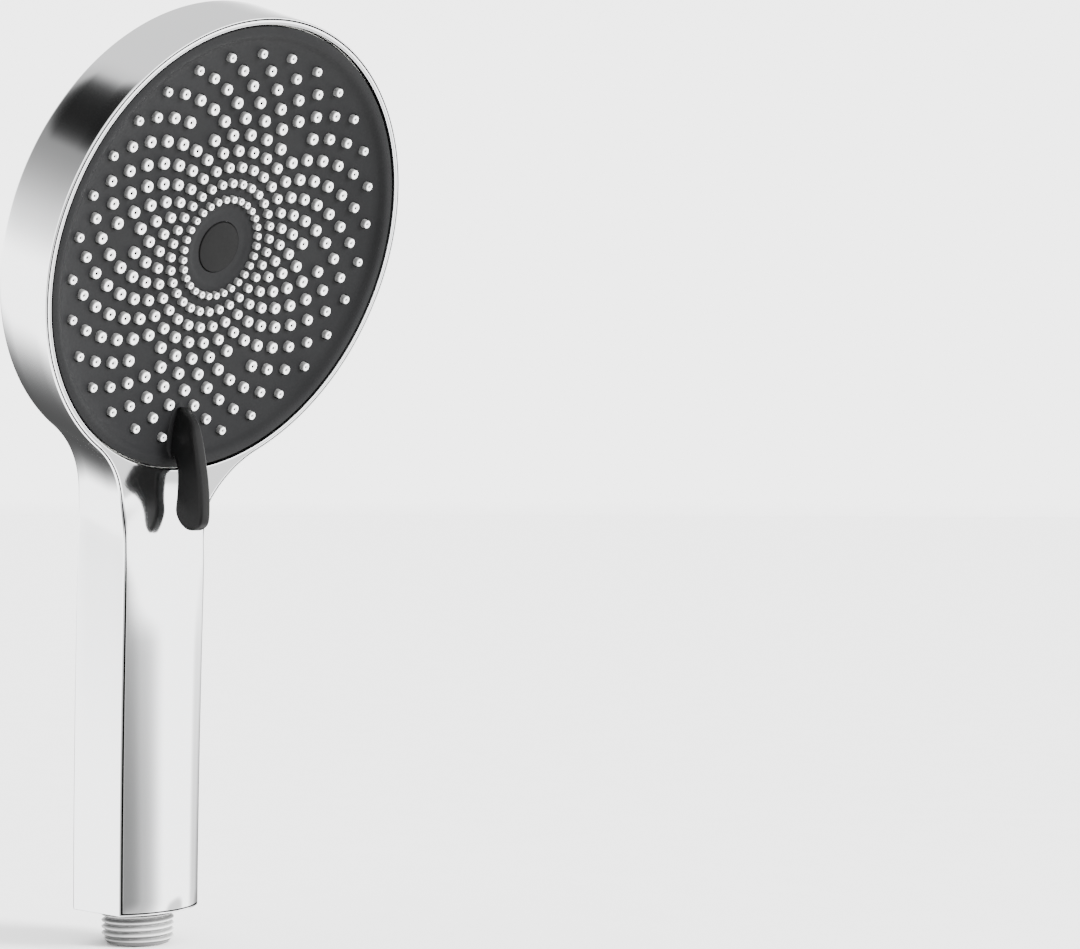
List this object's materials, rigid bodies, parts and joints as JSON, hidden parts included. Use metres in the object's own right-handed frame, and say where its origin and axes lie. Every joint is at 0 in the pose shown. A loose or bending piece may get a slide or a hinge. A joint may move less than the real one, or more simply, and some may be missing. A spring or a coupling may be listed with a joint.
{
  "type": "handheld shower head",
  "caption": "Handheld shower head: round chrome head on a flat-sided handle, dark spray plate with white nozzles, turned by a lever to change mode, and a male threaded inlet.",
  "frame": {"origin": "centre of the threaded spigot's end face, on the thread's axis", "axes": "+Z along the thread's axis and up the handle, -Y is the side that the water leaves, +X is to the right when the spray face is seen from the front"},
  "size_m": [0.1332, 0.0769, 0.2652],
  "materials": {
    "chrome": "bright chrome plating on moulded plastic",
    "face_plastic": "fine satin moulded dark grey",
    "lever_plastic": "satin moulded near-black",
    "cap_plastic": "satin moulded dark grey",
    "nozzle_silicone": "soft white silicone, matt",
    "inlet_plastic": "moulded white plastic",
    "chamber_plastic": "moulded light grey plastic",
    "slip_plastic": "acetal, satin",
    "restrictor_plastic": "moulded blue plastic",
    "seal_rubber": "black rubber",
    "steel": "stainless steel"
  },
  "bodies": {
    "handset": {"rear_shell": "chrome", "front_shell": "chrome", "bearing_ring": "slip_plastic", "waterway_tube": "inlet_plastic", "filter_washer": "seal_rubber", "filter_screen": "steel", "flow_restrictor": "restrictor_plastic", "restrictor_o_ring": "seal_rubber", "tube_o_ring": "seal_rubber", "head_manifold": "inlet_plastic", "manifold_lid": "inlet_plastic", "manifold_screws": "steel", "valve_seal": "seal_rubber", "valve_spring": "steel", "detent_spring": "steel", "pivot_screw": "steel", "pivot_washer": "steel"},
    "spray_face": {"selector_disc": "slip_plastic", "chamber_cover": "chamber_plastic", "channel_plate": "chamber_plastic", "nozzle_mat": "nozzle_silicone", "face_plate": "face_plastic", "mode_lever": "lever_plastic", "centre_cap": "cap_plastic"},
    "detent": {"detent_ball": "steel"}
  },
  "joints": [
    {"name": "mode_turn", "type": "hinge", "parent": "handset", "child": "spray_face", "pos_m": [0, -0.0377, 0.1959], "axis": [0, -0.9361, -0.3518], "range_deg": [-30, 30]},
    {"name": "detent_drop", "type": "slide", "parent": "handset", "child": "detent", "axis": [0, -0.9361, -0.3518], "range_m": [0, 0.0006], "stiffness_N_per_m": 400, "springref_m": 0.0012}
  ]
}
